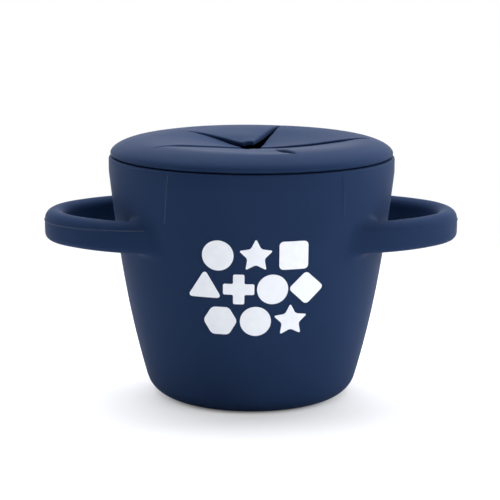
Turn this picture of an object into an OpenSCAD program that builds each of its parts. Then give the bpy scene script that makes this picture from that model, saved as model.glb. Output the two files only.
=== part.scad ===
// Toddler snack container: a soft silicone cup with two loop handles and a
// plug-in silicone lid. Five star-cut flaps in the lid let a small hand in
// and keep the snacks inside.
// Millimetres, +Z up. The cup stands on z = 0 with its axis on Z, the handles
// point along -X and +X, and the front faces -Y.

/* [Cup] */
// Outer diameter across the rim
rim_d = 91.5; // [85:0.5:98]
// Height of the rim above the table
cup_h = 77.8; // [74:0.2:86]
// Height of the upright band below the rim
band_h = 4.5; // [3:0.5:7]
// Lean of the wall just below the band, degrees from upright
wall_lean = 6.2; // [5:0.1:7]
// Radius of the outward bow of the wall, seen from the side
wall_bow = 700; // [600:10:900]
// Height below which the wall bows in more
bend_z = 40; // [32:1:44]
// Radius of that tighter bow
low_bow = 280; // [240:10:400]
// Radius of the big rounding between wall and base
base_round = 8.4; // [6:0.1:10]
// Thickness of the wall
wall_t = 2.8; // [2.4:0.1:3]
// Thickness of the floor
floor_t = 3.4; // [3:0.1:5]
// Radius of the shallow recess under the base
recess_r = 20; // [12:0.5:22]
// Depth of the shallow recess under the base
recess_d = 1.2; // [0.6:0.1:1.6]
// Rounding of the rim, outside edge
rim_round = 0.9; // [0.5:0.1:1.1]
// Rounding of the rim, inside edge
rim_round_in = 0.6; // [0.4:0.1:0.8]

/* [Handles] */
// Overall width across both handle tips
handle_span = 133; // [126:0.5:140]
// Radius of the handle's outer face round its tip
tip_r = 25; // [22:0.5:28]
// Half width of the loop over its outer face
loop_half = 31.5; // [30:0.5:33]
// Distance from the cup's axis to the loop's widest place
loop_mid = 25; // [22:0.5:28]
// Width of the bar, seen from above
bar_w = 6.6; // [5:0.1:8]
// Height of the bar
bar_h = 9.4; // [8:0.1:12]
// Height of the bar's middle above the table
bar_z = 55.8; // [45:0.1:60]
// Rounding of the bar's upper edges
bar_round_top = 2.7; // [1.5:0.1:3]
// Rounding of the bar's lower edges
bar_round_low = 2.1; // [1.5:0.1:3]
// Radius of the fillet between bar and cup wall
root_round = 2.8; // [1.2:0.1:3]
// The same on the bar's outer face, where it is tighter
root_round_out = 1.2; // [1:0.1:3]

/* [Lid] */
// Gap between the lid's edge and the outside of the rim, seen from above
lid_inset = 0.58; // [0.3:0.02:0.8]
// Height of the lid's crest above the rim
lid_rise = 5.15; // [4.75:0.05:7]
// Radius of the crest
crest_r = 34.4; // [34:0.1:36]
// Roundness of the lid's shoulder, 2 is an ellipse
shoulder_power = 1.75; // [1.6:0.01:2.4]
// How far the middle of the lid is dished below the crest
dish = 2.8; // [0:0.1:3]
// Thickness of the lid's skin and flaps
skin_t = 2; // [1.6:0.1:2.2]
// Depth of the plug skirt below the rim
skirt_h = 9; // [7:0.5:12]
// Thickness of the plug skirt
skirt_t = 2.2; // [1.8:0.1:2.6]
// Clearance between plug skirt and cup wall
skirt_gap = 0.25; // [0.2:0.05:0.4]
// How far the two sealing beads stand out from the skirt
bead_h = 0.15; // [0:0.01:0.15]

/* [Flaps] */
// Number of flaps
flap_count = 5; // [5:1:6]
// Distance from the axis at which the slits end
slit_r = 36.5; // [35:0.5:37]
// Width of a slit
slit_w = 0.8; // [0.6:0.1:1]
// Direction of the first slit, degrees from +X
slit_turn = 0.5; // [0:0.5:71]
// Diameter of the hole where the flap tips meet
tip_hole_d = 7.6; // [5:0.1:10]
// Radius of the relief hole at the end of a slit
relief_r = 1.05; // [1:0.05:1.2]
// Clearance round a flap's hinge root
root_gap = 0.3; // [0.3:0.02:0.4]
// How much thinner the hinge root is than the flap, on each side
root_neck = 0.15; // [0.1:0.05:0.3]

/* [Hidden] */
$fn = 96;
fine = 24;                            // steps along a long curve
small = 8;                            // steps along a small rounding
navy = "#24345a";
navy_lid = "#2b3c63";

// Outside of the cup's wall: three arcs that run on smoothly from the band down.
// The centres of the two long ones lie far over on the other side of the axis.
band_round = 8;
band_x = rim_d / 2 - band_round;
band_z = cup_h - band_h;
bow_x = band_x - (wall_bow - band_round) * cos(wall_lean);
bow_z = band_z + (wall_bow - band_round) * sin(wall_lean);
bend_lean = asin((bow_z - bend_z) / wall_bow);
low_x = bow_x + (wall_bow - low_bow) * cos(bend_lean);
low_z = bow_z - (wall_bow - low_bow) * sin(bend_lean);
// Each arc: centre x and z, radius, lean at its top and at its bottom
wall_arcs = [[band_x, band_z, band_round, 0, wall_lean],
             [bow_x, bow_z, wall_bow, wall_lean, bend_lean],
             [low_x, low_z, low_bow, bend_lean, 90]];

// Hinge lines of the flaps: chords between neighbouring slit ends
half_step = 180 / flap_count;
chord_x = slit_r * cos(half_step);
chord_half = slit_r * sin(half_step);
chord_z = cup_h + skin_z(chord_x) - skin_t / 2;

// Lid
lid_r = rim_d / 2 - lid_inset;
edge_z = 0.45;                        // height of the lid's widest line
skirt_in = wall_t + skirt_gap;        // from the cup's outside in to the skirt
lid_in_r = rim_d / 2 - skirt_in - skirt_t;
bead_w = 1.6;
bead_drops = [3.4, 6.2];              // depth of the sealing beads below the rim

// Handles: the loop is an arc round the tip and a flatter arc on each side of it
tip_x = handle_span / 2 - tip_r;      // centre of the tip arc
side_r = (pow(tip_x - loop_mid, 2) + pow(loop_half, 2) - pow(tip_r, 2))
         / (2 * (loop_half - tip_r));
side_y = loop_half - side_r;          // centre of the side arc, at x = loop_mid
join_a = atan2(-side_y, tip_x - loop_mid);
tip_steps = 9;
side_steps = 7;
root_steps = 4;
root_start = 25;                      // the fillet stops this short of the wall, degrees
root_sink = 2;                        // how far the uncut bar reaches into the cup

// Radius of the cup's wall at height z, d further in than its outside
function wall_r(z, d = 0) =
    let (w = [for (a = wall_arcs) if (z >= a[1] - (a[2] - d) * sin(a[4])) a][0])
    w[0] + sqrt(pow(w[2] - d, 2) - pow(max(w[1] - z, 0), 2));
// Points of an arc, from angle a0 to a1 about (x, z)
function arc(x, z, r, a0, a1, n) =
    [for (i = [0 : n]) let (a = a0 + (a1 - a0) * i / n) [x + r * cos(a), z + r * sin(a)]];
// Line of the wall from lean t up to the band, d further in than its outside
function wall_line(t, d, n) =
    [for (k = [2, 1, 0])
     let (w = wall_arcs[k], low = min(t, w[4]))
     for (i = [(k == 2 ? 0 : 1) : n])
     let (a = low + (w[3] - low) * i / n)
     [w[0] + (w[2] - d) * cos(a), w[1] - (w[2] - d) * sin(a)]];
// Lean of the wall where a rounding of radius q inside it has its centre at height z
function foot_lean(q, z, d) = asin((low_z - z) / (low_bow - d - q));
// That rounding, from the flat base or floor up to the wall
function foot_round(q, z, d, n) =
    let (t = foot_lean(q, z, d))
    arc(low_x + (low_bow - d - q) * cos(t), z, q, -90, -t, n);
function backwards(line) = [for (i = [len(line) - 1 : -1 : 0]) line[i]];

// Outside of the cup from the foot up to the top of the rim
cup_outside = concat(
    foot_round(base_round, base_round, 0, 2 * small),
    wall_line(foot_lean(base_round, base_round, 0), 0, small),
    arc(rim_d / 2 - rim_round, cup_h - rim_round, rim_round, 0, 90, small));

// Inside of the cup from the rim down to the floor
floor_round = base_round - wall_t;
floor_z = floor_t + floor_round;
cup_inside = backwards(concat(
    foot_round(floor_round, floor_z, wall_t, small),
    wall_line(foot_lean(floor_round, floor_z, wall_t), wall_t, small),
    arc(rim_d / 2 - wall_t + rim_round_in, cup_h - rim_round_in, rim_round_in, 180, 90, small)));

module cup() {
    foot = 0.8;                       // width of the slope into the recess
    color(navy)
        rotate_extrude()
            polygon(concat([[0, recess_d], [recess_r, recess_d], [recess_r + foot, 0]],
                           cup_outside, cup_inside, [[0, floor_t]]));
}

// Rounded outline of the bar's section, point by point: corner centre, radius and angle.
// Across the section x is outward and y is up.
bar_skin =
    let (w = bar_w / 2, h = bar_h / 2, t = bar_round_top, b = bar_round_low,
         corners = [[w - t, h - t, t], [t - w, h - t, t], [b - w, b - h, b], [w - b, b - h, b]])
    [for (k = [0 : 3], i = [0 : 4]) concat(corners[k], 90 * k + 22.5 * i)];
// Point of that outline, moved outward by g
function skin_point(s, g = 0) = [s[0] + (s[2] + g) * cos(s[3]), s[1] + (s[2] + g) * sin(s[3])];
// Fillet radius at a place of the outline
function root_q(s) = root_round - (root_round - root_round_out) * pow(max(cos(s[3]), 0), 2);
// Point of the bar's skin at angle a of the tip arc, for the section point p
function tip_point(a, p) =
    let (r = tip_r - bar_w / 2 + p.x) [tip_x + r * cos(a), r * sin(a), bar_z + p.y];
// The same on the side arc
function side_point(a, p) =
    let (r = side_r - bar_w / 2 + p.x)
    [loop_mid + r * cos(a), side_y + r * sin(a), bar_z + p.y];
// Point where the side arc through p comes within d of the cup's wall
function root_point(p, d) =
    let (r = side_r - bar_w / 2 + p.x, w = wall_r(bar_z + p.y) + d,
         c = norm([loop_mid, side_y]),
         a = atan2(side_y, loop_mid) + acos((w * w + c * c - r * r) / (2 * w * c)))
    [w * cos(a), w * sin(a), bar_z + p.y];
function root_angle(s) =
    let (q = root_point(skin_point(s), root_q(s))) atan2(q.y - side_y, q.x - loop_mid);
// Row of the root fillet: b is 90 on the bar and 0 on the wall. It lies sink inside that.
function root_row(b, sink = 0) =
    [for (s = bar_skin)
     root_point(skin_point(s, root_q(s) * (1 - sin(b))), root_q(s) * (1 - cos(b)) - sink)];

// Half of the handle's skin, row by row from the tip to the cup
function half_loop() =
    concat(
        [for (i = [0 : tip_steps])
         [for (s = bar_skin) tip_point(join_a * i / tip_steps, skin_point(s))]],
        [for (i = [1 : side_steps - 1])
         [for (s = bar_skin)
          side_point(join_a + (root_angle(s) - join_a) * i / side_steps, skin_point(s))]],
        [for (i = [0 : root_steps]) root_row(90 - (90 - root_start) * i / root_steps)],
        [root_row(root_start, root_sink)]);

// Handle on the +X side: a bar swept round the loop and cut off at the cup's wall
module handle() {
    half = half_loop();
    n = len(half);
    rows = concat([for (i = [n - 1 : -1 : 1]) [for (q = half[i]) [q.x, -q.y, q.z]]], half);
    sides = len(rows[0]);
    skin = [for (i = [0 : len(rows) - 2]) for (j = [0 : sides - 1])
            let (k = (j + 1) % sides, lo = i * sides, hi = lo + sides)
            each [[lo + j, hi + k, hi + j], [lo + j, lo + k, hi + k]]];
    first = [for (j = [sides - 1 : -1 : 0]) j];
    last = [for (j = [0 : sides - 1]) (len(rows) - 1) * sides + j];
    difference() {
        polyhedron(points = [for (row = rows) each row], faces = concat(skin, [first, last]));
        rotate_extrude() polygon(concat([[0, 0]], cup_outside, [[0, cup_h]]));
    }
}

module right_handle() {
    color(navy) handle();
}

module left_handle() {
    color(navy) rotate([0, 0, 180]) handle();
}

// Height of the lid's upper skin above the rim, inside the crest
function dish_z(r) = lid_rise - dish * pow(cos(90 * r / crest_r), 2);
// Rounded shoulder from radius r0, height z0 in to the crest at height z1
function shoulder(r0, z0, z1, a0, a1, n) =
    [for (i = [0 : n]) let (a = a0 + (a1 - a0) * i / n)
     [crest_r + (r0 - crest_r) * pow(cos(a), 2 / shoulder_power),
      z0 + (z1 - z0) * pow(sin(a), 2 / shoulder_power)]];
// Height of the upper skin above the rim at any radius
function skin_z(r) = r <= crest_r ? dish_z(r) :
    edge_z + (lid_rise - edge_z)
    * pow(1 - pow((r - crest_r) / (rim_d / 2 - lid_inset - crest_r), shoulder_power),
          1 / shoulder_power);
// Upper skin between two radii, moved down by d
function skin_line(r0, r1, d, n) =
    [for (i = [0 : n]) let (r = r0 + (r1 - r0) * i / n) [r, skin_z(r) - d]];

// Sealing bead on the skirt, at depth d below the rim
function bead(d) =
    [for (i = [0 : small]) let (z = cup_h - d + bead_w * (0.5 - i / small))
     [wall_r(z, skirt_in) + bead_h * sin(180 * i / small), z - cup_h]];

// Ring of the lid: shoulder, flange on the rim and plug skirt with two beads
module lid_ring() {
    ring_in_r = chord_x - 2;
    skirt_round = 0.7;
    out_low = wall_r(cup_h - skirt_h, skirt_in);
    rotate_extrude()
        polygon(concat(
            skin_line(ring_in_r, crest_r, 0, 4),
            shoulder(lid_r, edge_z, lid_rise, 89, 0, 2 * small),
            arc(lid_r - edge_z, edge_z, edge_z, -15, -90, 4),
            [[rim_d / 2 - skirt_in + 0.1, 0], [rim_d / 2 - skirt_in, -0.1]],
            bead(bead_drops[0]), bead(bead_drops[1]),
            arc(out_low - skirt_round, skirt_round - skirt_h, skirt_round, 0, -90, 3),
            arc(out_low - skirt_t + skirt_round, skirt_round - skirt_h, skirt_round,
                -90, -180, 3),
            shoulder(lid_in_r, 0, lid_rise - skin_t, 0, 89, small),
            skin_line(crest_r, ring_in_r, skin_t, 4)));
}

module at_flap(k) {
    rotate([0, 0, slit_turn + half_step * (2 * k - 1)]) children();
}

module at_slit_end(k) {
    rotate([0, 0, slit_turn + 2 * half_step * k]) translate([slit_r, 0, 0]) children();
}

module hinge_rod(r, half) {
    translate([chord_x, half, chord_z]) rotate([90, 0, 0]) cylinder(r = r, h = 2 * half);
}

module relief() {
    translate([0, 0, cup_h]) cylinder(r = relief_r, h = 2 * lid_rise);
}

module lid() {
    color(navy_lid)
        difference() {
            translate([0, 0, cup_h]) lid_ring();
            translate([0, 0, cup_h])
                linear_extrude(2 * lid_rise)
                    polygon([for (k = [0 : flap_count - 1])
                             slit_r * [cos(slit_turn + 2 * half_step * k),
                                       sin(slit_turn + 2 * half_step * k)]]);
            for (k = [1 : flap_count]) {
                at_flap(k) hinge_rod(skin_t / 2 + root_gap, chord_half);
                at_slit_end(k) relief();
            }
        }
}

// One flap: a wedge of the dished skin with a round hinge root on its chord
module flap(k) {
    wedge_x = slit_w / 2 / sin(half_step);
    wedge_y = (chord_x - wedge_x) * tan(half_step);
    flap_r = slit_r + slit_w;
    color(navy_lid)
        difference() {
            union() {
                intersection() {
                    translate([0, 0, cup_h])
                        rotate_extrude()
                            polygon(concat(skin_line(tip_hole_d / 2, flap_r, 0, fine),
                                           skin_line(flap_r, tip_hole_d / 2, skin_t, fine)));
                    at_flap(k)
                        linear_extrude(2 * cup_h)
                            polygon([[wedge_x, 0], [chord_x, -wedge_y], [chord_x, wedge_y]]);
                }
                at_flap(k) hinge_rod(skin_t / 2 - root_neck, chord_half - relief_r);
            }
            at_slit_end(k) relief();
            at_slit_end(k - 1) relief();
        }
}

module flap_1() { flap(1); }
module flap_2() { flap(2); }
module flap_3() { flap(3); }
module flap_4() { flap(4); }
module flap_5() { flap(5); }

cup();
left_handle();
right_handle();
lid();
flap_1();
flap_2();
flap_3();
flap_4();
flap_5();
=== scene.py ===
import math

import bmesh
import bpy
from mathutils import Matrix, Vector


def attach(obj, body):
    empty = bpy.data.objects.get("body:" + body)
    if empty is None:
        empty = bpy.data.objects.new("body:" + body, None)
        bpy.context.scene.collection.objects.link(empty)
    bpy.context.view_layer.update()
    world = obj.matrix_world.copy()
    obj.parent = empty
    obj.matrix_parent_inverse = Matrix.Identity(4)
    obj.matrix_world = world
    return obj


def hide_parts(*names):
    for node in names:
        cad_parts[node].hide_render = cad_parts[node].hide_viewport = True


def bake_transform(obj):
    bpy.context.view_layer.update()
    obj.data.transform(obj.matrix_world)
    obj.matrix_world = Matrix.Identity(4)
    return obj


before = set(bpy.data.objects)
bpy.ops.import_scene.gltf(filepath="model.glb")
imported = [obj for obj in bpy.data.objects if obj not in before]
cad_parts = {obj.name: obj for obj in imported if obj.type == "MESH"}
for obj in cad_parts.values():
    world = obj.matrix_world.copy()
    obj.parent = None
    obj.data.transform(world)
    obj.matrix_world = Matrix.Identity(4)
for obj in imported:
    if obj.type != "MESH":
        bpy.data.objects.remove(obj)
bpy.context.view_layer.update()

# ---------------------------------------------------------------------------
# Cup with its two finger loops. One compression moulding in thick navy
# silicone: a tapered wall with a slight bow, a round foot and rim, and on each
# side a bar that grows out of the wall through a fillet and comes back to it.
# ---------------------------------------------------------------------------
MM = 0.001
# points this close are merged, and points this close count as the same
MERGE, SAME = 0.01, 0.003
RIM_R = 45.78
# moulded height of the cup, and the height to which the lid has seated its rim
CUP_H, RIM_TOP = 77.8, 77.55
# the upright band under the rim, and the wall's lean where it leaves the band
BAND_H, BAND_ROUND = 4.5, 8.0
WALL_LEAN = math.radians(6.2)
# radius of the wall's bow, the height where it tightens, and its radius from there down
WALL_BOW, BEND_Z, LOW_BOW = 700.0, 40.0, 280.0
WALL_T, FLOOR_Z = 2.8, 3.4
# the recess under the base
RECESS_R, RECESS_Z = 20.0, 1.2
FOOT_ROUND, FLOOR_ROUND = 8.4, 5.6
RIM_ROUND, LIP_ROUND = 0.9, 0.6
CUP_COLUMNS = 96
# each bar root takes the place of a patch of faces in the outer wall: its heights, its first
# column and how many faces it has each way
PATCH_LOW, PATCH_HIGH = 48.6, 63.0
PATCH_COLUMN, PATCH_SIZE = 8, 5
PATCH_ROWS = [PATCH_LOW + (PATCH_HIGH - PATCH_LOW) * i / PATCH_SIZE for i in range(PATCH_SIZE + 1)]
# heights of the loops round the outer and the inner wall
OUTER_ROWS = ([9.5, 13.5, 18.5, 24, 30, 36, 42] + PATCH_ROWS
              + [66.4, 69.6, 71.6, 72.7, 73.4, 74.4, 75.8])
INNER_ROWS = [10.5, 15, 22, 30, 38, 46, 54, 61, 67, 71, 72.7, 73.6, 75.4]

# The wall's outside is made of three arcs that run on smoothly: the turn into the
# upright band under the rim, a long bow, and a tighter bow near the foot
BAND_X, BAND_Z = RIM_R - BAND_ROUND, CUP_H - BAND_H
BOW_X = BAND_X - (WALL_BOW - BAND_ROUND) * math.cos(WALL_LEAN)
BOW_Z = BAND_Z + (WALL_BOW - BAND_ROUND) * math.sin(WALL_LEAN)
BEND_LEAN = math.asin((BOW_Z - BEND_Z) / WALL_BOW)
LOW_X = BOW_X + (WALL_BOW - LOW_BOW) * math.cos(BEND_LEAN)
LOW_Z = BOW_Z - (WALL_BOW - LOW_BOW) * math.sin(BEND_LEAN)
WALL_ARCS = [(BAND_X, BAND_Z, BAND_ROUND, WALL_LEAN), (BOW_X, BOW_Z, WALL_BOW, BEND_LEAN),
             (LOW_X, LOW_Z, LOW_BOW, math.pi / 2)]


def wall_r(z, d=0.0):
    """Radius of the cup's wall at height z, d further in than its outside."""
    x, top, q, _ = next(a for a in WALL_ARCS if z >= a[1] - (a[2] - d) * math.sin(a[3]))
    return x + math.sqrt((q - d) ** 2 - max(top - z, 0) ** 2)


def arc(x, z, q, a0, a1, steps):
    """Points of an arc of radius q round (x, z), from angle a0 to a1 in degrees."""
    turns = [math.radians(a0 + (a1 - a0) * i / steps) for i in range(steps + 1)]
    return [(x + q * math.cos(t), z + q * math.sin(t)) for t in turns]


def foot_line(q, z, d, steps):
    """Rounding of radius q with its centre at height z, from the base or floor up to the wall."""
    lean = math.asin((LOW_Z - z) / (LOW_BOW - d - q))
    return arc(LOW_X + (LOW_BOW - d - q) * math.cos(lean), z, q, -90, -math.degrees(lean), steps)


def pick(test, mode="VERT"):
    """In edit mode: selects the elements of one kind whose test is true, and no others."""
    bpy.ops.mesh.select_mode(type=mode)
    bpy.ops.mesh.select_all(action="DESELECT")
    bm = bmesh.from_edit_mesh(bpy.context.edit_object.data)
    for e in {"VERT": bm.verts, "EDGE": bm.edges, "FACE": bm.faces}[mode]:
        if test(e):
            e.select_set(True)
    bm.select_flush_mode()
    bmesh.update_edit_mesh(bpy.context.edit_object.data)


def middle(e):
    """Middle of an edge or face, in mm."""
    points = [v.co for v in e.verts]
    return sum(points, Vector()) / len(points) / MM


def spun(name, profile, columns):
    """Draws the profile point by point in a plane through the axis and spins it full circle."""
    bpy.ops.object.select_all(action="DESELECT")
    line = [Vector((r, 0, z)) * MM for r, z in profile]
    bpy.ops.mesh.primitive_plane_add(size=MM, location=(0, 0, 0))
    piece = bpy.context.object
    piece.name = piece.data.name = name
    bpy.ops.object.mode_set(mode="EDIT")
    bpy.ops.mesh.select_mode(type="VERT")
    bpy.ops.mesh.select_all(action="SELECT")
    bpy.ops.mesh.merge(type="CENTER")
    bpy.ops.transform.translate(value=line[0])
    for a, b in zip(line, line[1:]):
        bpy.ops.mesh.extrude_vertices_move(TRANSFORM_OT_translate={"value": b - a})
    bpy.ops.mesh.select_all(action="SELECT")
    bpy.ops.mesh.spin(steps=columns, angle=2 * math.pi, center=(0, 0, 0), axis=(0, 0, 1))
    bpy.ops.mesh.select_all(action="SELECT")
    bpy.ops.mesh.remove_doubles(threshold=MERGE * MM)
    bpy.ops.mesh.normals_make_consistent(inside=False)
    return piece


cup = spun(
    "cup_with_loops",
    [(0, RECESS_Z), (RECESS_R / 2, RECESS_Z), (RECESS_R - 0.6, RECESS_Z),
     (RECESS_R, RECESS_Z - 0.1), (RECESS_R + 0.7, 0.1), (RECESS_R + 1.4, 0)]
    + foot_line(FOOT_ROUND, FOOT_ROUND, 0, 8)
    + [(wall_r(z), z) for z in OUTER_ROWS]
    + arc(RIM_R - RIM_ROUND, RIM_TOP - RIM_ROUND, RIM_ROUND, 0, 90, 5)
    + arc(RIM_R - WALL_T + LIP_ROUND, RIM_TOP - LIP_ROUND, LIP_ROUND, 90, 180, 4)
    + [(wall_r(z, WALL_T), z) for z in INNER_ROWS[::-1]]
    + foot_line(FLOOR_ROUND, FLOOR_Z + FLOOR_ROUND, WALL_T, 6)[::-1]
    + [(12, FLOOR_Z), (0, FLOOR_Z)],
    CUP_COLUMNS)

# The bar's outer face follows an arc round the tip and one along each side, which join at JOIN
TIP_R, TIP_X = 25.0, 41.5
SIDE_R, SIDE_X, SIDE_Y = 46.9, 25.0, -14.4
JOIN = math.atan2(-SIDE_Y, TIP_X - SIDE_X)
# its section, and the fillet at its root, tighter on the outer face
BAR_W, BAR_H, BAR_Z = 6.6, 9.7, 55.65
BAR_TOP_ROUND, BAR_LOW_ROUND = 3.2, 2.1
ROOT_ROUND, ROOT_ROUND_OUT = 3.0, 1.2
TIP_STEPS, SIDE_STEPS, ROOT_STEPS = 8, 6, 5


def bar_skin():
    """Rounded outline of the bar's section, point by point: corner centre, radius and angle."""
    w, h, t, b = BAR_W / 2, BAR_H / 2, BAR_TOP_ROUND, BAR_LOW_ROUND
    corners = [(w - t, h - t, t, 0), (t - w, h - t, t, 90),
               (b - w, b - h, b, 180), (w - b, b - h, b, 270)]
    return [(x, z, q, math.radians(a + 90 * i / (PATCH_SIZE - 1)))
            for x, z, q, a in corners for i in range(PATCH_SIZE)]


def skin_point(s, grown=0.0):
    """Place of a point of the section, grown outwards by so much."""
    x, z, q, a = s
    return x + (q + grown) * math.cos(a), z + (q + grown) * math.sin(a)


def root_q(s):
    """Radius of the root fillet, tighter on the bar's outer face."""
    return ROOT_ROUND - (ROOT_ROUND - ROOT_ROUND_OUT) * max(math.cos(s[3]), 0) ** 2


def root_point(p, proud):
    """Where the side arc through section point p comes within proud of the cup's wall."""
    r = SIDE_R - BAR_W / 2 + p[0]
    w = wall_r(BAR_Z + p[1]) + proud
    c = math.hypot(SIDE_X, SIDE_Y)
    a = math.atan2(SIDE_Y, SIDE_X) + math.acos((w * w + c * c - r * r) / (2 * w * c))
    return w * math.cos(a), w * math.sin(a), BAR_Z + p[1]


def side_point(s, share):
    """Point of the bar on the side arc, from its join with the tip arc (0) to the root (1)."""
    p = skin_point(s)
    x, y, _ = root_point(p, root_q(s))
    a = JOIN + (math.atan2(y - SIDE_Y, x - SIDE_X) - JOIN) * share
    r = SIDE_R - BAR_W / 2 + p[0]
    return SIDE_X + r * math.cos(a), SIDE_Y + r * math.sin(a), BAR_Z + p[1]


def tip_point(s, share):
    """Point of the bar on the tip arc, from the tip (0) to its join with the side arc (1)."""
    p = skin_point(s)
    r = TIP_R - BAR_W / 2 + p[0]
    return TIP_X + r * math.cos(JOIN * share), r * math.sin(JOIN * share), BAR_Z + p[1]


def half_bar():
    """The bar's rings from the cup's wall to the tip, on the +X +Y quarter."""
    rings = []
    for i in range(ROOT_STEPS + 1):
        b = math.pi / 2 * i / ROOT_STEPS
        rings.append([root_point(skin_point(s, root_q(s) * (1 - math.sin(b))),
                                 root_q(s) * (1 - math.cos(b))) for s in bar_skin()])
    for i in range(SIDE_STEPS - 1, 0, -1):
        rings.append([side_point(s, i / SIDE_STEPS) for s in bar_skin()])
    for i in range(TIP_STEPS, -1, -1):
        rings.append([tip_point(s, i / TIP_STEPS) for s in bar_skin()])
    return rings


def place(points, targets):
    """In edit mode: moves the selected point at each of points to its target."""
    data = bpy.context.edit_object.data
    bm = bmesh.from_edit_mesh(data)
    free = [v for v in bm.verts if v.select]
    found = [min(free, key=lambda v: (v.co - p).length_squared) for p in points]
    for v, p in zip(found, targets):
        v.co = p
    bmesh.update_edit_mesh(data)


def grow(rings):
    """Extrudes the selected open edge from the first ring of points through all the others."""
    for now, then in zip(rings[:-1], rings[1:]):
        bpy.ops.mesh.extrude_edges_move(TRANSFORM_OT_translate={"value": (0, 0, 0)})
        place(now, then)


def along(v, ring):
    """True for a point that lies on one of a ring's points."""
    return any((v.co - p).length < SAME * MM for p in ring)


def patch_rim(side, end):
    """The points round one opening in the wall, in the order of the bar's section."""
    near, far, n = PATCH_COLUMN, PATCH_COLUMN + PATCH_SIZE, PATCH_SIZE
    walk = ([(far - i, n) for i in range(n)] + [(near, n - i) for i in range(n)]
            + [(near + i, 0) for i in range(n)] + [(far, i) for i in range(n)])
    points = []
    for column, row in walk[-2:] + walk[:-2]:
        a, z = 2 * math.pi * column / CUP_COLUMNS, PATCH_ROWS[row]
        r = wall_r(z)
        points.append(Vector((side * r * math.cos(a), end * r * math.sin(a), z)) * MM)
    return points


def in_patch(face):
    """True for the faces of the outer wall that the four bar roots take the place of."""
    c = middle(face)
    column = math.atan2(abs(c.y), abs(c.x)) / (2 * math.pi) * CUP_COLUMNS
    return (PATCH_COLUMN < column < PATCH_COLUMN + PATCH_SIZE and PATCH_LOW < c.z < PATCH_HIGH
            and math.hypot(c.x, c.y) > wall_r(c.z) - WALL_T / 2)


pick(in_patch, "FACE")
bpy.ops.mesh.delete(type="FACE")
half = half_bar()
for side in (1, -1):
    rings = [[Vector((side * x, y, z)) * MM for x, y, z in ring] for ring in half]
    rings += [[Vector((p.x, -p.y, p.z)) for p in ring] for ring in rings[-2::-1]]
    for end, ring in ((1, rings[0]), (-1, rings[-1])):
        rim = patch_rim(side, end)
        pick(lambda v: along(v, rim))
        place(rim, ring)
    pick(lambda e: e.is_boundary and all(along(v, rings[0]) for v in e.verts), "EDGE")
    grow(rings)
    bpy.ops.mesh.select_all(action="SELECT")
    bpy.ops.mesh.remove_doubles(threshold=MERGE * MM)
bpy.ops.mesh.normals_make_consistent(inside=False)
bpy.ops.object.mode_set(mode="OBJECT")


def smooth_out(piece, levels):
    """Applies a subdivision surface and shades the piece smooth."""
    bpy.ops.object.select_all(action="DESELECT")
    bpy.context.view_layer.objects.active = piece
    piece.select_set(True)
    m = piece.modifiers.new("smooth", "SUBSURF")
    m.levels = m.render_levels = levels
    bpy.ops.object.modifier_apply(modifier=m.name)
    bpy.ops.object.shade_smooth()


smooth_out(cup, 1)

# Moulding flash, the fine raised line where the parts of the mould met: its width, its height
# on the wall and on the bars, and how much paler the faces along it are painted, a painted
# highlight
FLASH_W, FLASH_H, BAR_FLASH_H, FLASH_HIGHLIGHT = 0.32, 0.12, 0.2, 0.026
# the joint round the bars: its height this far from the axis, and its fall towards the tip
FLASH_X, FLASH_Z, FLASH_FALL = 46.0, 57.85, 0.042
# the bar is what stands this far off the wall, and its outside is no flatter than this
BAR_CLEAR, BAR_STEEP = 2.2, 0.8
# the upright joints at the left (-1) and right (1) of the front, and the other way round behind:
# angle from the front or back, and height, of the upper and the lower end
SEAMS = {-1: ((35.3, 74.5), (38.0, 61.5)), 1: ((35.2, 74.8), (36.7, 61.5))}
# how far from a joint's middle and how high its line goes, and how thin a skin it is cut in
SEAM_REACH, SEAM_TOP, SEAM_SKIN = 16, 76.5, 0.3


def hairline(test, point, normal, proud, painted_highlight):
    """Cuts three close lines across the faces that pass the test and lifts the middle one.

    The faces beside it take the paler finish, a painted highlight, where the last argument is
    true.
    """
    bpy.ops.object.mode_set(mode="EDIT")
    normal = Vector(normal).normalized()
    for off in (-FLASH_W / 2, FLASH_W / 2, 0):
        at = Vector(point) + normal * off
        pick(lambda f: test(middle(f), f.normal), "FACE")
        bpy.ops.mesh.bisect(plane_co=at * MM, plane_no=normal, threshold=MERGE * MM)
    data = bpy.context.edit_object.data
    bm = bmesh.from_edit_mesh(data)
    for v in bm.verts:
        c = v.co / MM
        on_line = abs((c - Vector(point)).dot(normal)) < MERGE + 0.002
        if on_line and all(test(middle(f), f.normal) for f in v.link_faces):
            v.co += v.normal * proud * MM
            for f in v.link_faces:
                f.material_index = painted_highlight
    bmesh.update_edit_mesh(data)
    bpy.ops.object.mode_set(mode="OBJECT")


# round the outside of each bar, where the two halves of the mould meet
for side in (-1, 1):
    hairline(lambda c, n: (side * c.x > 0 and abs(n.z) < BAR_STEEP and n.x * c.x + n.y * c.y > 0
                           and math.hypot(c.x, c.y) > wall_r(c.z) + BAR_CLEAR),
             (side * FLASH_X, 0, FLASH_Z), (side * FLASH_FALL, 0, 1), BAR_FLASH_H, side < 0)
# from the rim down to the front root of each bar, and the same behind
for side, end in ((-1, -1), (1, -1), (-1, 1), (1, 1)):
    high, low = ((math.radians(90 - a), z) for a, z in SEAMS[side * -end])
    ends = [Vector((side * wall_r(z) * math.cos(a), end * wall_r(z) * math.sin(a), z))
            for a, z in (high, low)]
    across = (ends[0] - ends[1]).cross(Vector((ends[0].x, ends[0].y, 0)))
    hairline(lambda c, n: (ends[1].z < c.z < SEAM_TOP
                           and (c - (ends[0] + ends[1]) / 2).length < SEAM_REACH
                           and math.hypot(c.x, c.y) > wall_r(c.z) - SEAM_SKIN),
             ends[0], across, FLASH_H, side < 0)
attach(cup, "cup")
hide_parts("cup", "left_handle", "right_handle")


def wired(links, *pairs):
    """Joins each node output to its input."""
    for source, target in pairs:
        links.new(source, target)


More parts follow.
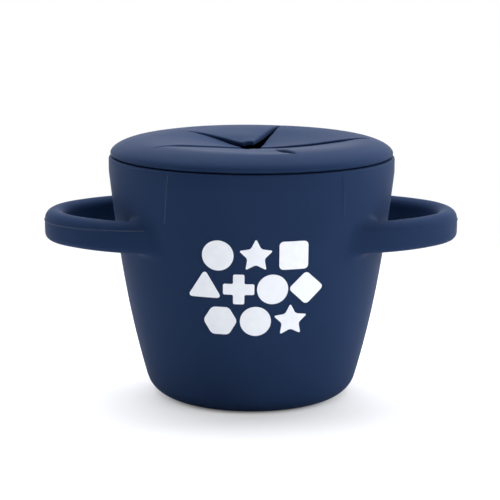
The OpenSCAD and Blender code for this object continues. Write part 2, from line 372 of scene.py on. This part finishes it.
def noise(nodes, links, scale, detail):
    """Noise that keeps its place on the piece; its scale is in patches to the metre."""
    spot = nodes.new("ShaderNodeTexCoord")
    made = nodes.new("ShaderNodeTexNoise")
    made.inputs["Scale"].default_value = scale
    made.inputs["Detail"].default_value = detail
    links.new(spot.outputs["Object"], made.inputs["Vector"])
    return made


def toned(nodes, dark, light):
    """A mix from a darker to a lighter colour."""
    made = nodes.new("ShaderNodeMix")
    made.data_type = "RGBA"
    made.inputs["A"].default_value = (*dark, 1)
    made.inputs["B"].default_value = (*light, 1)
    return made


def silicone(name, colour, dust):
    """Matt moulded silicone: a fine matt grain, soft mottling and a thin film of dust."""
    made = bpy.data.materials.new(name)
    made.use_nodes = True
    nodes, links = made.node_tree.nodes, made.node_tree.links
    shader = nodes["Principled BSDF"]
    cloud = noise(nodes, links, 55, 4)
    grain = noise(nodes, links, 2600, 2)
    tone = toned(nodes, [c * 0.9 for c in colour], [c * 1.1 + dust for c in colour])
    matt = nodes.new("ShaderNodeMapRange")
    matt.inputs["To Min"].default_value = 0.5
    matt.inputs["To Max"].default_value = 0.62
    bump = nodes.new("ShaderNodeBump")
    bump.inputs["Strength"].default_value = 0.12
    bump.inputs["Distance"].default_value = 0.00006
    wired(links,
          (cloud.outputs["Fac"], tone.inputs["Factor"]),
          (tone.outputs["Result"], shader.inputs["Base Color"]),
          (cloud.outputs["Fac"], matt.inputs["Value"]),
          (matt.outputs["Result"], shader.inputs["Roughness"]),
          (grain.outputs["Fac"], bump.inputs["Height"]),
          (bump.outputs["Normal"], shader.inputs["Normal"]))
    shader.inputs["IOR"].default_value = 1.43
    shader.inputs["Specular IOR Level"].default_value = 0.025
    return made


def finish_with(piece, material):
    """Gives the piece this material and no other."""
    piece.data.materials.clear()
    piece.data.materials.append(material)


NAVY, DUST = (0.0128, 0.0278, 0.0725), 0.0006
cup.data.materials.append(silicone("navy_silicone", NAVY, DUST))
# on the left the faces along the flash are painted paler, a painted highlight where its ridge
# catches the light
cup.data.materials.append(silicone("flash_painted_highlight", [c + FLASH_HIGHLIGHT for c in NAVY], DUST))

# ---------------------------------------------------------------------------
# Ten play shapes in white ink, printed on the front of the wall in three rows.
# Each is a thin film of ink that lies on the silicone and follows its curve.
# ---------------------------------------------------------------------------
# how far the ink stands out of the wall, and how far it sinks in
INK, INK_SINK = 0.06, 0.03
# height of each row's middle, its shapes, and the distance from one to the next
ROWS = ((52.8, ("disc", "star", "square"), 11.4),
        (42.3, ("triangle", "plus", "disc", "diamond"), 10.2),
        (32.1, ("hexagon", "disc", "star"), 10.6))
# half the length and half the width of the plus's two strokes
ARM_L, ARM_W = 4.7, 1.7


def ring_of(radii, turn=0.0):
    """Outline through evenly spread points at the given radii, the first one at the top."""
    step = 2 * math.pi / len(radii)
    return [(r * math.sin(turn + step * i), r * math.cos(turn + step * i))
            for i, r in enumerate(radii)]


# each shape's outline, and the rounding of its corners
OUTLINES = {
    "disc": (ring_of([4.7] * 40), 0),
    "triangle": (ring_of([5.9] * 3), 1.5),
    "square": (ring_of([6.2] * 4, math.pi / 4), 1.3),
    "diamond": (ring_of([5.4] * 4), 1.2),
    "hexagon": (ring_of([5.1] * 6, math.pi / 6), 1.0),
    "star": (ring_of([5.4, 2.7] * 5), 0.7),
    "plus": ([(-ARM_W, ARM_L), (ARM_W, ARM_L), (ARM_W, ARM_W), (ARM_L, ARM_W),
              (ARM_L, -ARM_W), (ARM_W, -ARM_W), (ARM_W, -ARM_L), (-ARM_W, -ARM_L),
              (-ARM_W, -ARM_W), (-ARM_L, -ARM_W), (-ARM_L, ARM_W), (-ARM_W, ARM_W)], 0.5),
}


def print_shape(name, kind, x, z):
    """Flat rounded outline, filled in fine triangles, laid on the wall and given its thickness."""
    outline, rounding = OUTLINES[kind]
    bpy.ops.object.select_all(action="DESELECT")
    bpy.ops.mesh.primitive_circle_add(vertices=len(outline), radius=5 * MM, fill_type="NGON",
                                      rotation=(math.pi / 2, 0, 0))
    ink = bpy.context.object
    ink.name = ink.data.name = name
    bpy.ops.object.transform_apply(location=True, rotation=True, scale=True)
    bpy.ops.object.mode_set(mode="EDIT")
    bm = bmesh.from_edit_mesh(ink.data)
    for v, (u, w) in zip(sorted(bm.verts, key=lambda v: v.index), outline):
        v.co = Vector((u, 0, w)) * MM
    bmesh.update_edit_mesh(ink.data)
    bpy.ops.mesh.select_all(action="SELECT")
    if rounding:
        bpy.ops.mesh.bevel(offset=rounding * MM, segments=5, affect="VERTICES")
        bpy.ops.mesh.select_all(action="SELECT")
    bpy.ops.mesh.poke()
    bpy.ops.mesh.subdivide(number_cuts=4)
    bm = bmesh.from_edit_mesh(ink.data)
    for v in bm.verts:
        u, w = v.co.x / MM + x, v.co.z / MM + z
        v.co = Vector((u, -math.sqrt((wall_r(w) - INK_SINK) ** 2 - u * u), w)) * MM
    bmesh.update_edit_mesh(ink.data)
    bpy.ops.mesh.select_all(action="SELECT")
    bpy.ops.mesh.normals_make_consistent(inside=False)
    bpy.ops.object.mode_set(mode="OBJECT")
    if sum(f.normal.y for f in ink.data.polygons) > 0:
        ink.data.flip_normals()
    film = ink.modifiers.new("film", "SOLIDIFY")
    film.thickness = (INK + INK_SINK) * MM
    film.offset = 1
    bpy.ops.object.modifier_apply(modifier=film.name)
    bpy.ops.object.shade_smooth_by_angle(angle=math.radians(40))
    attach(ink, "cup")
    return ink


def ink_white():
    """Screen-printed white ink: opaque, satin, a trace thinner here and there."""
    made = bpy.data.materials.new("white_ink")
    made.use_nodes = True
    nodes, links = made.node_tree.nodes, made.node_tree.links
    shader = nodes["Principled BSDF"]
    thin = noise(nodes, links, 420, 2)
    tone = toned(nodes, (0.74, 0.78, 0.86), (0.84, 0.87, 0.93))
    wired(links,
          (thin.outputs["Fac"], tone.inputs["Factor"]),
          (tone.outputs["Result"], shader.inputs["Base Color"]))
    shader.inputs["Roughness"].default_value = 0.55
    return made


ink_material = ink_white()
for row, (z, kinds, pitch) in enumerate(ROWS, 1):
    for i, kind in enumerate(kinds):
        x = (i - (len(kinds) - 1) / 2) * pitch
        finish_with(print_shape(f"print_{row}_{i + 1}_{kind}", kind, x, z), ink_material)

# ---------------------------------------------------------------------------
# Lid ring. The lid is one silicone moulding that plugs into the cup: a rounded
# shoulder on the rim, and under it a skirt with two soft sealing beads.
# ---------------------------------------------------------------------------
LID_R, LID_COLUMNS, SKIN_T = 45.17, 180, 2.0
# the shoulder's edge: height of its widest line and of its underside, and the radius of the
# small step inside it
EDGE_Z, EDGE_LOW, STEP_R = 0.85, 0.02, 43.6
# height of the crest above the rim, depth of the dish inside it, the crest's radius, and how
# square the shoulder is
LID_RISE, DISH, CREST_R, SHOULDER_POWER = 5.15, 2.8, 34.4, 1.75
# the ring ends here and the flaps go on with the same skin
SEAM_R = 38.2
# the plug's skirt: how far inside the wall's outer face, its height, thickness and rounding
SKIRT_IN, SKIRT_H, SKIRT_T, SKIRT_ROUND = 3.08, 9.0, 2.2, 0.7
# its sealing beads: how far they lie below the rim, their width and their height
BEAD_DROPS, BEAD_W, BEAD_H, BEAD_STEPS = (3.4, 6.2), 1.6, 0.15, 8
SHOULDER_RADII = [SEAM_R, 38.32, 38.8, 39.4, 40, 40.6, 41.2, 41.8, 42.3, 42.8, 43.2, 43.6,
                  43.95, 44.25, 44.5, 44.7, 44.86, 44.98, 45.07, 45.13]


def skin_z(r):
    """Height of the lid's skin above the rim: a dish inside the crest, a shoulder outside."""
    if r <= CREST_R:
        return LID_RISE - DISH * math.cos(math.pi / 2 * r / CREST_R) ** 2
    out = ((r - CREST_R) / (LID_R - CREST_R)) ** SHOULDER_POWER
    return EDGE_Z + (LID_RISE - EDGE_Z) * max(0.0, 1 - out) ** (1 / SHOULDER_POWER)


def skirt(drop):
    """Radius of the plug skirt's outside this far below the rim."""
    return wall_r(CUP_H - drop, SKIRT_IN)


def bead(middle_drop):
    """Outline of one sealing bead, a low swelling of the skirt."""
    shares = [i / BEAD_STEPS for i in range(BEAD_STEPS + 1)]
    drops = [middle_drop + BEAD_W * (t - 0.5) for t in shares]
    return [(skirt(d) + BEAD_H * math.sin(math.pi * t), -d) for t, d in zip(shares, drops)]


low_r = skirt(SKIRT_H)
inner_r = skirt(0) - SKIRT_T
edge_round = EDGE_Z - EDGE_LOW
ring_line = (
    [(r, skin_z(r)) for r in SHOULDER_RADII]
    + arc(LID_R - edge_round, EDGE_Z, edge_round, 0, -90, 5)
    + [(STEP_R + 0.3, EDGE_LOW), (STEP_R + 0.1, EDGE_LOW), (STEP_R, 0),
       (skirt(0) + 0.15, 0), (skirt(0), -0.15), (skirt(0), -1.2)]
    + [p for drop in BEAD_DROPS for p in bead(drop)]
    + arc(low_r - SKIRT_ROUND, SKIRT_ROUND - SKIRT_H, SKIRT_ROUND, 0, -90, 4)
    + arc(low_r - SKIRT_T + SKIRT_ROUND, SKIRT_ROUND - SKIRT_H, SKIRT_ROUND, -90, -180, 4)
    + [(inner_r - 0.25, -4), (inner_r, -1), (inner_r - 0.05, 0.4), (inner_r - 0.3, 1.2),
       (inner_r - 0.8, 2.0), (inner_r - 1.5, 2.6)]
    + [(SEAM_R, skin_z(SEAM_R) - SKIN_T), (SEAM_R, skin_z(SEAM_R))])
lid_ring = spun("lid_ring", [(r, CUP_H + z) for r, z in ring_line], LID_COLUMNS)
bpy.ops.object.mode_set(mode="OBJECT")
bpy.ops.object.shade_smooth_by_angle(angle=math.radians(50))
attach(lid_ring, "lid")
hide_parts("lid")
LID_NAVY = (0.0132, 0.0278, 0.0720)
lid_finish = silicone("lid_silicone", LID_NAVY, DUST)
finish_with(lid_ring, lid_finish)

# ---------------------------------------------------------------------------
# Five flaps of the lid. The skin is cut in a star from the small hole in the
# middle nearly to the shoulder; in the real lid each flap stays one with the ring
# and bends along the line between its two slit ends. Here each flap is its own
# piece that meets the ring at the seam, settled a little down or up from its moulded shape.
# ---------------------------------------------------------------------------
# how many flaps, the first slit's angle, where the slits end, and the hole they start from
FLAPS, FIRST_SLIT, SLIT_R, HOLE_R = 5, 0.5, 36.5, 3.8
SECTOR = 360 / FLAPS
# rounding of the cut edges, a quarter of it at the ring and all of it three quarters of the
# second value further in, and the quarter turn that draws it
EDGE_ROUND, ROUND_GROWS = 0.45, 2
ROUND_TURNS = [math.radians(30 * i) for i in range(4)]
# the skin thins towards the tips by this much, over a taper that starts this far out
TIP_THIN, TAPER_FROM, TAPER_L = 0.5, 16, 12
# a flap's two ends are pressed this nearly shut, and then merged
PRESSED, PRESSED_MERGE = 0.999, 0.005
FLAP_COLUMNS = 36
FLAP_RADII = ([4.7, 5.4, 6.2, 7.2, 8.4, 9.8] + [11.2 + 1.3 * i for i in range(19)]
              + [35.4, 36.2, 36.8, 37.3, 37.7, 38.08, SEAM_R])
# half width of each slit on a flap's first and last side: at the hole, half way and at its
# end, from where it closes to a tenth over the last stretch before the ring
SLIT_MID, SLIT_FAR, SLIT_CLOSE = 20, 35, 1.5
SLIT_OPEN = {1: ((0.45, 0.35, 0.22), (1.9, 0.9, 0.28)), 2: ((0.4, 0.3, 0.25), (0.45, 0.25, 0.05)),
             3: ((0.45, 0.25, 0.05), (0.35, 0.3, 0.2)), 4: ((0.35, 0.3, 0.2), (0.4, 0.12, 0.36)),
             5: ((0.4, 0.12, 0.3), (0.45, 0.35, 0.22))}
# how far the soft skin now lies below its moulded shape, or above it where negative, at these
# distances from the middle: on the flap's first side, along its middle and on its last side
SETTLE_RADII, SETTLE_FADE = (4, 12, 20, 28, 36), 3
SETTLE = {
    1: ((0.45, 0.5, 0.6), (0.6, 0.55, 0.5), (0.83, 0.5, 0.45), (0.55, 0.2, 0.2), (0.1, 0, 0)),
    2: ((-1.1, -1.15, -0.75), (-1.1, -1.6, -1.33), (-0.85, -1.2, -1.27), (-0.5, -0.6, -0.6),
        (0, -0.1, 0)),
    3: ((0.5, 0.3, -0.1), (-0.45, -0.3, -0.2), (-0.98, -0.5, -0.05), (-0.8, -0.35, -0.1),
        (-0.15, 0, 0)),
    4: ((0.34, 0.4, 0.1), (0.2, 0.2, 0.05), (0.35, 0.3, 0.3), (0.35, 0.5, 0.9), (0, 0.1, 0.5)),
    5: ((0.3, 0.4, 0.8), (0.3, 0.6, 1.15), (0.25, 0.7, 1.43), (0, 0.5, 1.15), (0, 0.1, 0.2))}


def soft_step(x):
    """0 below x = 0, 1 above x = 1, and a smooth rise between."""
    x = min(1.0, max(0.0, x))
    return x * x * (3 - 2 * x)


def slit_gap(k, side, r):
    """Half width of the slit on flap k's first (0) or last (1) side, r from the middle."""
    near, mid, far = SLIT_OPEN[k][side]
    if r < SLIT_MID:
        return near + (mid - near) * soft_step((r - HOLE_R) / (SLIT_MID - HOLE_R))
    wide = mid + (far - mid) * soft_step((r - SLIT_MID) / (SLIT_FAR - SLIT_MID))
    return wide * min(1.0, 0.1 + (SEAM_R - r) / SLIT_CLOSE)


def through(values, t):
    """Smooth curve through evenly spaced values, at t steps from the first."""
    i = int(min(max(t, 0), len(values) - 1.001))
    t -= i
    p = [values[min(max(i + j, 0), len(values) - 1)] for j in (-1, 0, 1, 2)]
    return (p[1] + 0.5 * t * (p[2] - p[0] + t * (2 * p[0] - 5 * p[1] + 4 * p[2] - p[3]
                                                 + t * (3 * (p[1] - p[2]) + p[3] - p[0]))))


def settled(k, r, share):
    """How far the skin lies below its moulded shape at a point of flap k."""
    step = (r - SETTLE_RADII[0]) / (SETTLE_RADII[1] - SETTLE_RADII[0])
    first, mid, last = (through([row[i] for row in SETTLE[k]], step) for i in range(3))
    down = (first * (1 - share) * (1 - 2 * share) + mid * 4 * share * (1 - share)
            + last * share * (2 * share - 1))
    return down * soft_step((SEAM_R - r) / SETTLE_FADE)


def flap_ring(k, r, inset=0.0):
    """Section of flap k across its two sides at distance r, drawn in by inset all round."""
    q = EDGE_ROUND * min(1.0, 0.25 + (SEAM_R - r) / ROUND_GROWS) - inset
    a0, a1 = FIRST_SLIT + SECTOR * (k - 1), FIRST_SLIT + SECTOR * k
    g0, g1 = slit_gap(k, 0, r) + inset, slit_gap(k, 1, r) + inset
    thick = SKIN_T - TIP_THIN * soft_step((TAPER_FROM - r) / TAPER_L)
    corner = [(q * (1 - math.sin(t)), q * (1 - math.cos(t))) for t in ROUND_TURNS]

    def turned(x):
        """Angle that leads x sideways at distance r."""
        return math.degrees(math.asin(min(1.0, x / r)))

    from_a, to_b = a0 + turned(g0 + q), a1 - turned(g1 + q)
    top = [(from_a + (to_b - from_a) * i / FLAP_COLUMNS, 0) for i in range(FLAP_COLUMNS + 1)]
    side_b = [(a1 - turned(g1 + x), d) for x, d in corner[1:]]
    side_a = [(a0 + turned(g0 + x), d) for x, d in corner[1:]]
    points = [(a, d + inset) for a, d in top + side_b]
    points += [(a, thick - inset - d) for a, d in side_b[::-1] + top[::-1] + side_a]
    points += [(a, d + inset) for a, d in side_a[::-1]]
    made = []
    for a, drop in points:
        share = min(1.0, max(0.0, (a - a0) / SECTOR))
        z = CUP_H + skin_z(r) - drop - settled(k, r, share)
        a = math.radians(a)
        made.append(Vector((r * math.cos(a), r * math.sin(a), z)) * MM)
    return made


def shut(ring):
    """A flap's section pressed flat to its middle line, all but touching, to close one end."""
    last = 2 * FLAP_COLUMNS + 2 * len(ROUND_TURNS) - 1  # the point that lies under the first one
    return [p.lerp((p + ring[(last - i) % len(ring)]) / 2, PRESSED) for i, p in enumerate(ring)]


def make_flap(k):
    """Extrudes the flap's section from the seam in to its rounded tip."""
    rings = [flap_ring(k, r) for r in FLAP_RADII[::-1]]
    for t in ROUND_TURNS[1:]:
        rings.append(flap_ring(k, HOLE_R + EDGE_ROUND * (1 - math.sin(t)),
                               EDGE_ROUND * 0.98 * (1 - math.cos(t))))
    rings = [shut(rings[0])] + rings + [shut(rings[-1])]
    bpy.ops.object.select_all(action="DESELECT")
    bpy.ops.mesh.primitive_circle_add(vertices=len(rings[0]), radius=SEAM_R * MM,
                                      fill_type="NOTHING")
    flap = bpy.context.object
    flap.name = flap.data.name = f"lid_flap_{k}"
    bpy.ops.object.mode_set(mode="EDIT")
    bm = bmesh.from_edit_mesh(flap.data)
    for v, p in zip(bm.verts, rings[0]):
        v.co = p
    bmesh.update_edit_mesh(flap.data)
    pick(lambda e: True, "EDGE")
    grow(rings)
    bpy.ops.mesh.select_all(action="SELECT")
    bpy.ops.mesh.remove_doubles(threshold=PRESSED_MERGE * MM)
    bpy.ops.mesh.normals_make_consistent(inside=False)
    bpy.ops.object.mode_set(mode="OBJECT")
    bpy.ops.object.shade_smooth_by_angle(angle=math.radians(50))
    return flap


for k in range(1, FLAPS + 1):
    flap = make_flap(k)
    finish_with(flap, lid_finish)
    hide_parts(f"flap_{k}")
    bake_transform(flap)

# ---------------------------------------------------------------------------
# Studio. White paper to stand on, broad soft boxes overhead and behind, and
# smaller ones low down at the left, the front right and the back right.
# ---------------------------------------------------------------------------
# the camera: its turn about the cup, its tilt and roll, its distance and what it aims at
SHOT_TURN = math.radians(-1.8)
SHOT_TILT, SHOT_ROLL = 0.1909, 0.0034
SHOT_AWAY, SHOT_LENS = 0.550, 122.2
SHOT_AIM = Vector((-0.000446, 0, 0.046360))
turn = Matrix.Rotation(SHOT_TURN, 4, "Z")
look = Vector((0, math.cos(SHOT_TILT), -math.sin(SHOT_TILT)))
lens = bpy.data.cameras.new("camera")
lens.sensor_width = 36
lens.lens = SHOT_LENS
lens.clip_start, lens.clip_end = 0.01, 50
camera = bpy.data.objects.new("camera", lens)
bpy.context.scene.collection.objects.link(camera)
camera.matrix_world = (turn @ Matrix.Translation(SHOT_AIM - look * SHOT_AWAY)
                       @ Matrix.Rotation(math.pi / 2 - SHOT_TILT, 4, "X")
                       @ Matrix.Rotation(SHOT_ROLL, 4, "Z"))
bpy.context.scene.camera = camera

PAPER = (0.92, 0.94, 1.0)
# how much of the paper is burnt out to white at these distances from the cup's axis, in metres
BURNT = ((0.026, 0), (0.031, 0.45), (0.1, 0.45), (0.3, 1))
bpy.ops.object.select_all(action="DESELECT")
bpy.ops.mesh.primitive_plane_add(size=6, location=(0, 0, 0))
floor = bpy.context.object
floor.name = "floor"
paper = bpy.data.materials.new("white_paper")
paper.use_nodes = True
nodes, links = paper.node_tree.nodes, paper.node_tree.links
nodes.clear()
out = nodes.new("ShaderNodeOutputMaterial")
matt = nodes.new("ShaderNodeBsdfDiffuse")
matt.inputs["Color"].default_value = (0.85, 0.85, 0.85, 1)
# what the camera sees is lit paper that burns out to white away from the cup
bright = nodes.new("ShaderNodeBsdfDiffuse")
bright.inputs["Color"].default_value = (*PAPER, 1)
lit = nodes.new("ShaderNodeEmission")
lit.inputs["Color"].default_value = (1, 1, 1, 1)
spot = nodes.new("ShaderNodeTexCoord")
away = nodes.new("ShaderNodeVectorMath")
away.operation = "LENGTH"
fade = nodes.new("ShaderNodeValToRGB")
fade.color_ramp.interpolation = "EASE"
for distance, share in BURNT:
    stop = fade.color_ramp.elements.new(distance)
    stop.color = (share, share, share, 1)
seen = nodes.new("ShaderNodeMixShader")
blend = nodes.new("ShaderNodeMixShader")
path = nodes.new("ShaderNodeLightPath")
wired(links,
      (spot.outputs["Object"], away.inputs[0]),
      (away.outputs["Value"], fade.inputs[0]),
      (fade.outputs["Color"], seen.inputs[0]),
      (bright.outputs[0], seen.inputs[1]),
      (lit.outputs[0], seen.inputs[2]),
      (path.outputs["Is Camera Ray"], blend.inputs[0]),
      (matt.outputs[0], blend.inputs[1]),
      (seen.outputs[0], blend.inputs[2]),
      (blend.outputs[0], out.inputs["Surface"]))
finish_with(floor, paper)

# the room gives a faint even light, and the camera sees it as plain white
world = bpy.data.worlds.new("studio")
bpy.context.scene.world = world
world.use_nodes = True
nodes, links = world.node_tree.nodes, world.node_tree.links
nodes.clear()
out = nodes.new("ShaderNodeOutputWorld")
room = nodes.new("ShaderNodeBackground")
room.inputs["Strength"].default_value = 0.05
seen = nodes.new("ShaderNodeBackground")
seen.inputs["Color"].default_value = (1, 1, 1, 1)
seen.inputs["Strength"].default_value = 1.0
blend = nodes.new("ShaderNodeMixShader")
path = nodes.new("ShaderNodeLightPath")
wired(links,
      (path.outputs["Is Camera Ray"], blend.inputs[0]),
      (room.outputs[0], blend.inputs[1]),
      (seen.outputs[0], blend.inputs[2]),
      (blend.outputs[0], out.inputs["Surface"]))


def soft_light(name, at, aim, size, watts):
    """A soft box at one point, aimed at another."""
    data = bpy.data.lights.new(name, "AREA")
    data.shape = "RECTANGLE"
    data.size, data.size_y = size
    data.energy = watts
    lamp = bpy.data.objects.new(name, data)
    bpy.context.scene.collection.objects.link(lamp)
    lamp.visible_camera = False
    lamp.location = at
    lamp.rotation_euler = (Vector(aim) - Vector(at)).to_track_quat("-Z", "Y").to_euler()


soft_light("top_light", (0, 0.35, 1.0), (0, 0, 0.05), (1.4, 0.9), 25)
soft_light("back_light", (0, 1.3, 0.5), (0, 0, 0.08), (2.6, 0.9), 16)
soft_light("right_light", (1.0, -0.7, 0.45), (0, 0, 0.04), (0.7, 0.7), 8.5)
soft_light("left_light", (-1.1, 0.3, 0.4), (0, 0, 0.04), (0.8, 0.8), 7)
soft_light("far_light", (1.1, 0.5, 0.4), (0, 0, 0.04), (0.8, 0.8), 10)
bpy.context.scene.view_settings.view_transform = "Standard"
